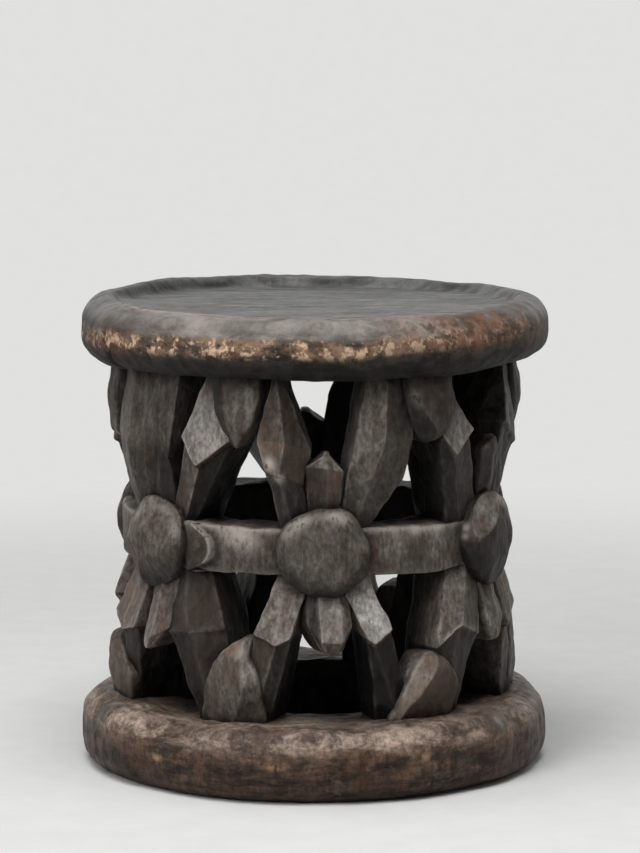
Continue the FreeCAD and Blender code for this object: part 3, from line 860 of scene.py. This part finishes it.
for place, (gap, turn) in enumerate(zip(GAPS, knot_turns)):
    for number, (row, root, sign, tall, half) in enumerate(KNOT_ROWS):
        plain = [(root + sign * rise * tall, turn, 0, share * half, ridge) for rise, share, ridge in KNOT]
        limb(f"{row}_knot_{gap}", plain, KNOT_BACK, -sign * SUNK, 0, KNOT_EDGES,
             KNOT_SEED + 2 * place + number, KNOT_LOOK)

for place, (spider, turn) in enumerate(zip(SPIDERS, TURNS)):
    plain = [(HOOP_TOP + rise, turn, 0, half, ridge) for rise, half, ridge in HEAD]
    limb(f"{spider}_head", plain, LIMB_BACK, -SUNK, 0, LIMB_EDGES, HEAD_SEED + place, HEAD_LOOK)
    plain = [(HOOP_UNDER + rise, turn, 0, half, ridge) for rise, half, ridge in TAIL]
    limb(f"{spider}_tail", plain, LIMB_BACK, SUNK, 0, LIMB_EDGES, TAIL_SEED + place, TAIL_LOOK)

for right, (side, sign) in enumerate((("left", -1), ("right", 1))):
    for place, spider in enumerate(SPIDERS):
        gap = place if right else (place - 1) % len(GAPS)
        hip = TURNS[gap if right else gap + 1] + sign * HIP_TURN
        for number, (row, lift, heights, knee_half, look) in enumerate(LEG_ROWS):
            way = leg_turns[row][gap] - hip
            plain = ((heights[0], hip, 0, HIP_HALF, HIP_RIDGE),
                     (heights[1], hip + KNEE_SHARE * way, sign * lift * KNEE_TILT, knee_half, KNEE_RIDGE),
                     (heights[2], hip + FOOT_SHARE * way, 0, FOOT_HALF, FOOT_RIDGE))
            limb(f"{spider}_{row}_{side}_leg", plain, CORE, lift * SUNK, -lift * SUNK, LIMB_EDGES,
                 LEG_SEED + 20 * place + 2 * number + right, look)

# Round bodies

BODY_PROFILE = np.array([(0.5, 151.6), (15, 150.9), (25, 148.8), (32, 145), (32, 133), (31, BODY_BACK),
                         (3, BODY_BACK)])
BODY_CUTS, BODY_DOME, BODY_COLUMNS, BODY_MIDDLE = (0, 7, 6, 6, 6, 3, 0), 4, 120, 134
FLAT_DEEP, FLAT_MOST, FLAT_SEEN = 0.3, 12, 0.15  # depth at its start, most taken off, least that shows
DOME_FROM = 140
# Tone, stretch (share, bearing) and flats of the bodies. A flat is the bearing round the body from its
# right-hand side, the lean from facing out, the start and the tone, which paints the flat lighter or
# darker as light and shade by the way it faces.
BODIES = {
    "front": (1.0, (0.0, 0), ((265, 16, 17, 0.85),)),
    "left_front": (1.0, (0.025, 60), ((55, 24, 6, 1.45), (140, 24, 11, 1.15), (215, 26, 14, 0.8),
                                      (285, 24, 11, 0.7))),
    "right_front": (0.36, (0.03, 95), ((130, 28, 14, 1.8), (20, 16, 12, 0.3), (285, 20, 14, 0.35))),
}
PLAIN_FLATS = ((70, 20, 10, 1.15), (200, 20, 14, 0.9), (310, 22, 13, 0.85))


def boss(name, turn, seed, all_tone, stretch, flats):
    """Domed disc let into the hoop, about an axis that points outwards at the given turn.

    A profile (distance from the axis, radius from the stool's axis) is carried round by an angle a;
    the distance is scaled by 1 plus a few seeded cosines of a, so the outline is cut by eye. Each flat
    is a knife cut that leaves the dome at a distance start from the middle: what lies beyond its plane
    goes back onto the plane.
    """
    line = eased(BODY_PROFILE, BODY_CUTS, False, 9, 9)
    angles = np.linspace(0, 2 * np.pi, BODY_COLUMNS, endpoint=False)
    rng = np.random.default_rng(seed)
    wide = 1 + sum(rng.normal(0, 0.011) * np.cos(k * angles + rng.uniform(0, 6.3)) for k in (2, 3, 4, 5))
    wide = wide * (1 + stretch[0] * np.cos(2 * (angles - math.radians(stretch[1]))))
    around, off, out = np.broadcast_arrays(angles, line[:, :1], line[:, 1:])
    flat = np.stack([off * wide * np.cos(around), off * wide * np.sin(around), out], -1)
    tone_and_light = np.full(around.shape, all_tone)
    for bearing, lean, start, flat_light in flats:
        bearing, lean = math.radians(bearing), math.radians(lean)
        aside, up = math.cos(bearing), math.sin(bearing)
        way = np.array([aside * math.sin(lean), up * math.sin(lean), math.cos(lean)])
        dome = np.interp(start, BODY_PROFILE[:BODY_DOME, 0], BODY_PROFILE[:BODY_DOME, 1])
        over = (flat - (start * aside, start * up, dome - FLAT_DEEP)) @ way
        over = np.where(flat[..., 2] > BODY_MIDDLE, np.clip(over, 0, FLAT_MOST), 0)
        flat = flat - over[..., None] * way
        tone_and_light = np.where(over > FLAT_SEEN, flat_light, tone_and_light)
    angle = math.radians(turn)
    turned = np.array([(math.cos(angle), math.sin(angle), 0), (0, 0, 1),
                       (math.sin(angle), -math.cos(angle), 0)])
    grid = flat @ turned + (0, 0, WAIST)
    grid, normal, around, tone_and_light = outwards(grid, on_log(turn, WAIST, BODY_MIDDLE), around, tone_and_light)
    grid = roughened(grid, normal, (0.3, seed, 9, 18), (0.6, seed + 9, 20, 40))
    # painted highlight: the upper half of the rim is made pale, as if lit from above
    rim = mound(off, 27.8, 3.6) * (out > DOME_FROM)
    painted_top_highlight = np.clip(np.sin(around), 0, 1) ** 0.7
    here_and_there = np.clip(0.7 + 0.5 * waves(grid, seed + 31, 12, 30), 0.1, 1)
    # painted light and shade: the bevel lighter on its upper side and darker on its lower side
    bevel_light = np.where(out > DOME_FROM, ramp(off, 20, 8), 1)
    tone_and_light = tone_and_light * (1 + bevel_light * (0.52 * np.sin(around) - 0.24)) * (1 + 0.1 * waves(grid, seed + 3, 12, 30))
    marks = {"wear_and_highlight": rim * painted_top_highlight * here_and_there, "chip": chipped(grid), "tone_and_light": tone_and_light,
             "warm": np.zeros(tone_and_light.shape)}
    piece_of(name, hand_cut(grid), marks, CAGE)


for place, (spider, turn) in enumerate(zip(SPIDERS, TURNS)):
    plain = (1.0, (0.03, 40 * place), PLAIN_FLATS)
    boss(f"{spider}_body", turn, BODY_SEED + place, *BODIES.get(spider, plain))

# Turned rings: hoop, base and seat

CLOSE_STEP = 0.15  # between turns where a shape needs more columns
STUB_ROOT, STUB_START, STUB_END, STUB_RISE = 305, 317, 327.5, 5.5  # turns, and the rise of its face
BASE_SIDE, BASE_OUTSIDE = 170, 150  # radii of the side, and beyond which a mark is on the outside
# Pale chips on the base: turn and its width, height and its width, strength
BASE_CHIPS = ((-43.4, 1.5, 24, 3.2, 1), (70, 1.2, 8, 5, 0.8), (-12, 2.5, 27, 2, 0.7), (24, 1.5, 30, 3, 0.7))
SEAT_SIDE, SEAT_OUTSIDE, CREST, DISH, CENTRE, SEAT_ROWS = 170, 150, 151, 145, 3, 26
UPPER_ARC, LOWER_ARC, UPPER_ARC_HEIGHT, LOWER_ARC_HEIGHT = 19, 22, 320, 313
CRACK_TURN, CRACK_WIDE, CRACK_DEEP = -63.4, 0.9, 3.5


def fine_turns(step, first, last):
    """Turns of the whole circle at a step, with closer ones between two turns."""
    turns = np.concatenate([np.arange(0, 360, step), np.arange(first, last, CLOSE_STEP)])
    return np.unique(np.round(turns, 3))


def out_of_round(turn, *swells):
    """Sum of cosines of the turn, each (size, number of swells, angle at the front)."""
    return sum(size * np.cos(np.radians(count * turn + start)) for size, count, start in swells)


def arc(middle, size, first, last):
    """Points on a circle in the profile plane, from one angle to another, in degrees from outwards."""
    angle = np.radians(np.linspace(first, last, SEAT_ROWS))
    return np.stack([middle[0] + size * np.cos(angle), middle[1] + size * np.sin(angle)], -1)


def make_hoop():
    """Level band with worn edges, and a round-ended stub that rises beside the body on the left.

    Near the stub's end the columns of the face bow back by a power of the height above or below the
    waist, so that they follow the round end. The top face gets painted light, the corners painted shade
    and the face just beside the stub a painted shadow; the edges are pale, partly worn and partly
    painted highlight.
    """
    corners = ((CORE, HOOP_UNDER), (HOOP_FACE, HOOP_UNDER), (HOOP_FACE, HOOP_TOP), (CORE, HOOP_TOP))
    line = eased(corners, (4, 3, 3, 4), True, 6, 12)
    turn, radius, height = carried_round(line, fine_turns(1.0, 316, 336))
    face = ramp(radius, 132, 6)
    bow = 7.0 * ramp(np.abs(height - WAIST), 0, 16) ** 2.4
    bowed = turn - bow * ramp(np.abs(turn - STUB_END), 11, -11) * face
    stub = ramp(turn, STUB_END, -0.5) * (turn > STUB_ROOT) * face * ramp(bowed, STUB_START, 3)
    radius += STUB_RISE * stub
    grid = on_log(bowed, height, radius)
    grid = roughened(grid, normals_of(grid), (0.35, 61, 10, 22), (0.9, 62, 25, 60))

    # pale edges, partly wear and partly painted highlight, the top edge more than the lower one
    edges = mound(height, HOOP_TOP, 2.5) + 0.35 * mound(height, HOOP_UNDER, 2.5)
    patch = (round_about(turn, -23.5, 4.5) * mound(height, 179, 6.5)
             + round_about(turn, 36, 7) * mound(height, 185, 3))
    lip = mound(turn, STUB_END - 0.5, 0.7) * face * ramp(height, 158, 4)
    wear_and_highlight = edges * mound(radius, HOOP_FACE, 3.5) + 0.9 * patch * face + 0.8 * lip
    # painted shadow on the face just beside the stub's end
    stub_shadow = ramp(turn, STUB_END + 4, -4) * (turn > STUB_END) * face
    tone_and_light = 1.15 + 0.2 * waves(grid, 63, 18, 40) + 0.3 * patch + 0.3 * round_about(turn, 30, 22)
    # painted light on the top face; painted shade in the corners and round the body, the painted shadow
    # beside the stub, and the face darker towards its lower edge
    tone_and_light = tone_and_light + 0.9 * ramp(height, 184, 2.5) * ramp(radius, 122, 8)
    tone_and_light = tone_and_light * (0.4 + 0.6 * np.minimum(painted_shade(grid) * 2 - 0.4, 1)) * (1 - 0.4 * stub) * (1 - 0.75 * stub_shadow)
    tone_and_light = tone_and_light * (0.62 + 0.5 * ramp(height, HOOP_UNDER, HOOP_TOP - HOOP_UNDER) ** 0.8)
    marks = {"wear_and_highlight": np.clip(wear_and_highlight, 0, 1), "chip": chipped(grid), "tone_and_light": tone_and_light, "warm": 0.25 * patch}
    grid, _, *values = outwards(grid, on_log(turn, WAIST, (CORE + HOOP_FACE) / 2), *marks.values())
    piece_of("waist_hoop", hand_cut(grid), dict(zip(marks, values)), CAGE, ring=True)


def make_base():
    """Ring on the floor with round shoulders, its rim a little out of round."""
    corners = ((CORE, 0), (BASE_SIDE, 0), (BASE_SIDE, BASE_TOP), (CORE, BASE_TOP))
    line = eased(corners, (3, 18, 24, 4), True, 16, 18)
    turn, radius, height = carried_round(line, np.arange(0, 360, 0.75))
    radius += ramp(radius, 125, 35) * out_of_round(turn, (1.0, 2, 40), (0.7, 3, 10))
    grid = on_log(turn, height, radius)
    grid, normal, turn, radius, height = outwards(grid, on_log(turn, 25, 135), turn, radius, height)
    grid = roughened(grid, normal, (0.35, 71, 10, 24), (0.9, 72, 40, 90), ramp(height, 0, 6))

    shoulder = mound(height, 43, 6) * ramp(radius, 140, 12)
    rubbed = 0.45 + 0.65 * round_about(turn, 5, 35) + 1.1 * round_about(turn, -66, 26)
    chips = sum(strength * round_about(turn, at, wide) * mound(height, up, tall)
                for at, wide, up, tall, strength in BASE_CHIPS) * (radius > BASE_OUTSIDE)
    marks = {
        "shade": 0.42 + 0.58 * ramp(height, 4, 32), "band": np.clip(shoulder * rubbed, 0, 1),
        "chip": np.clip(chips, 0, 1), "top": 0.7 * ramp(height, 30, 16),
    }
    piece_of("base_ring", hand_cut(grid), marks, BASE, ring=True)


def make_seat():
    """Thick disc: a dish, a rim, an edge of two arcs and a flat underside, carried round the axis.

    The rim is highest at the back on the left and lowest in front, the edge is undercut on the right,
    and a crack runs down on the left along a wavy line.
    """
    corners = ((CENTRE, 331.6), (DISH - 2.5, 333), (DISH + 2, 338.2), (CREST - 1, 339))
    dish = eased(corners, (0, 3, 3, 0), False, 12, 16)
    upper = arc((CREST, UPPER_ARC_HEIGHT), UPPER_ARC, 88, 0)
    lower = arc((SEAT_SIDE - LOWER_ARC, LOWER_ARC_HEIGHT), LOWER_ARC, 0, -90)
    under = [np.linspace(SEAT_SIDE - LOWER_ARC - 4, CENTRE, SEAT_ROWS), np.full(SEAT_ROWS, SEAT_UNDER)]
    line = np.concatenate([dish, upper, lower, np.stack(under, -1)])
    turn, radius, height = carried_round(line, fine_turns(0.75, 295, 305))
    rim = ramp(radius, DISH - 3, 5) * ramp(height, 308, 20)
    height += rim * (2.8 * round_about(turn, -150, 75) - 5.6 * round_about(turn, 0, 64))
    height += ramp(height, 308, -14) * ramp(radius, 132, 14) * 4.0 * round_about(turn, 72, 32)
    radius += ramp(radius, 120, 30) * out_of_round(turn, (0.9, 2, -30), (0.6, 3, 70))
    crack_turn = CRACK_TURN + 4.0 * ramp(height, 312, -40) - 0.9 * np.sin(height / 2.6)
    crack = round_about(turn, crack_turn, CRACK_WIDE) * ramp(height, 322, -3) * (radius > 138)
    radius -= CRACK_DEEP * crack
    grid = on_log(turn, height, radius)
    grid, normal, turn, radius, height, crack = outwards(grid, (0, 0, 315), turn, radius, height, crack)
    grid = roughened(grid, normal, (0.26, 81, 10, 24), (0.9, 82, 45, 100), ramp(radius, 142, 14))

    outside = radius > SEAT_OUTSIDE
    band_height = 313.5 + 9.0 * ramp(short_way(turn), 5, 40)
    band = np.exp(-(((height - band_height) / 6.5) ** 4)) * outside * round_about(turn, -24, 62)
    # bare pale wood on the rim's slope, and near turn 16 a painted highlight
    bare_and_highlight = ramp(height, 317, 5) * ramp(radius, DISH, 4)
    bare_and_highlight = bare_and_highlight * (0.9 * round_about(turn, -22, 46) + 0.6 * round_about(turn, 16, 12))
    red = (round_about(turn, 40, 19) * ramp(height, 309, 6) * ramp(radius, SEAT_OUTSIDE, 6)
           + 0.9 * round_about(turn, -59, 10) * mound(height, 313, 9) * outside)
    lip = mound(radius, DISH + 4, 4.5) * (height > 326)
    rubbed = lip * (1.0 * round_about(turn, -44, 22) + 0.5 * round_about(turn, 14, 22))
    # a paler spot on the edge near turn 24: painted highlight
    rubbed += mound(height, 328, 5) * (radius > SEAT_OUTSIDE + 2) * 0.4 * round_about(turn, 24, 9)
    ripples = np.clip(0.9 * np.sin(np.radians(9 * turn)) + 0.3 * np.sin(np.radians(23 * turn)), 0, 1)
    groove = mound(radius, DISH, 2.6) * (height > 325)
    groove = groove * np.clip(1.1 * round_about(turn, -112, 34) + ripples * round_about(turn, 180, 70), 0, 1)
    marks = {
        "band": np.clip(band, 0, 1), "red": np.clip(red, 0, 1), "bare_and_highlight": np.clip(bare_and_highlight, 0, 1),
        "crack": crack, "top": ramp(height, 322, 10), "wear_and_highlight": np.clip(rubbed, 0, 1),
        "shade": (0.24 + 0.76 * ramp(height, 300, 12)) * (1 - 0.85 * groove),
    }
    piece_of("seat", hand_cut(grid), marks, SEAT)


make_hoop()
make_base()
make_seat()
shade_joints()

# Stage: a pale sweep, soft light from above, and the photograph's camera

SWEEP_LINE, SWEEP_EASE, SWEEP_COLUMNS = ((0.02, 0.0), (6.0, 0.0), (6.0, 5.0)), 1.6, 96
# Square lamps: name, place, size, power
LAMPS = (
    ("sky_light", (-0.2, -0.6, 2.3), 1.7, 52),
    ("front_light", (-1.6, -2.2, 1.8), 1.3, 29),
    ("back_light", (2.1, 1.8, 1.5), 1.4, 9),
)
LAMP_AIM, SKY_COLOUR, SKY_STRENGTH = Vector((0, 0, 0.2)), (0.80, 0.82, 0.82, 1), 0.17


def pale_paper():
    """Matt paper that takes the shadow near the stool and is seen plain pale away from it.

    The share of the plain colour grows with the distance from the axis, for rays that show it.
    """
    bench = Bench("pale_paper")
    speck = bench.span(bench.noise((30, 30, 30), 4, 0.6), 0.3, 0.7)
    matt = bench.mix(speck, (0.70, 0.70, 0.685), (0.73, 0.73, 0.715))
    paper = bench.node("ShaderNodeBsdfPrincipled", "BSDF", {"Base Color": matt, "Roughness": 0.9})
    pale = bench.mix(speck, (0.745, 0.745, 0.73), (0.755, 0.755, 0.74))
    plain = bench.node("ShaderNodeEmission", "Emission", {"Color": pale})
    rays = bench.tree.nodes.new("ShaderNodeLightPath").outputs
    seen = bench.total(rays["Is Camera Ray"], rays["Is Glossy Ray"], rays["Is Transmission Ray"])
    share = bench.times(bench.maths("MINIMUM", seen, 1.0), bench.span(bench.axis_distance(), 0.45, 1.5))
    return bench.shown(bench.node("ShaderNodeMixShader", "Shader", {0: share, 1: paper, 2: plain}))


def sweep():
    """Floor that bends up into a wall all round: one profile (away, up), eased, carried round the stool."""
    line = eased(SWEEP_LINE, SWEEP_EASE, False, 24, 8)
    angle = np.linspace(0, 2 * np.pi, SWEEP_COLUMNS, endpoint=False)
    away, up = line[:, :1], line[:, 1:]
    grid = np.stack(np.broadcast_arrays(away * np.cos(angle), away * np.sin(angle), up), -1)
    faces = quads(len(line), SWEEP_COLUMNS)[:, ::-1].tolist() + [list(range(SWEEP_COLUMNS))]
    mesh = smooth_mesh("pale_sweep", grid.reshape(-1, 3), faces)
    mesh.materials.append(pale_paper())
    floor = bpy.data.objects.new("pale_sweep", mesh)
    bpy.context.scene.collection.objects.link(floor)


sweep()
for name, place, size, power in LAMPS:
    lamp = bpy.data.lights.new(name, "AREA")
    lamp.shape, lamp.size, lamp.energy = "SQUARE", size, power
    softbox = bpy.data.objects.new(name, lamp)
    softbox.location = place
    softbox.rotation_euler = (LAMP_AIM - Vector(place)).to_track_quat("-Z", "Y").to_euler()
    bpy.context.scene.collection.objects.link(softbox)

world = bpy.data.worlds.new("studio")
bpy.context.scene.world = world
world.use_nodes = True
sky = world.node_tree.nodes["Background"].inputs
sky["Color"].default_value, sky["Strength"].default_value = SKY_COLOUR, SKY_STRENGTH

# camera: 2.4 m from the middle of the stool, a little left of the front spider, looking slightly down
PHOTO_WIDE, PHOTO_TALL, FOCAL, SENSOR = 640, 853, 3283.0, 36.0
AIM, AIM_AT, AWAY, PITCH, ASIDE = Vector((0, 0, 0.170)), (314.6, 524.5), 2.4, 8.45, -2.7
FAR_END = 50
tilt, aside = math.radians(PITCH), math.radians(ASIDE)
level = math.cos(tilt)
stand = AIM + AWAY * Vector((level * math.sin(aside), -level * math.cos(aside), math.sin(tilt)))
look_down = tilt - math.atan((AIM_AT[1] - PHOTO_TALL / 2) / FOCAL)
look_aside = aside + math.atan((AIM_AT[0] - PHOTO_WIDE / 2) / FOCAL)
camera = bpy.data.cameras.new("photo_camera")
camera.sensor_fit, camera.sensor_width, camera.sensor_height = "VERTICAL", SENSOR, SENSOR
camera.lens = FOCAL * SENSOR / PHOTO_TALL
camera.clip_end = FAR_END
holder = bpy.data.objects.new("photo_camera", camera)
holder.matrix_world = (Matrix.Translation(stand) @ Matrix.Rotation(look_aside, 4, "Z")
                       @ Matrix.Rotation(math.pi / 2 - look_down, 4, "X"))
bpy.context.scene.collection.objects.link(holder)
bpy.context.scene.camera = holder
bpy.context.scene.view_settings.view_transform = "Standard"

bpy.context.view_layer.update()
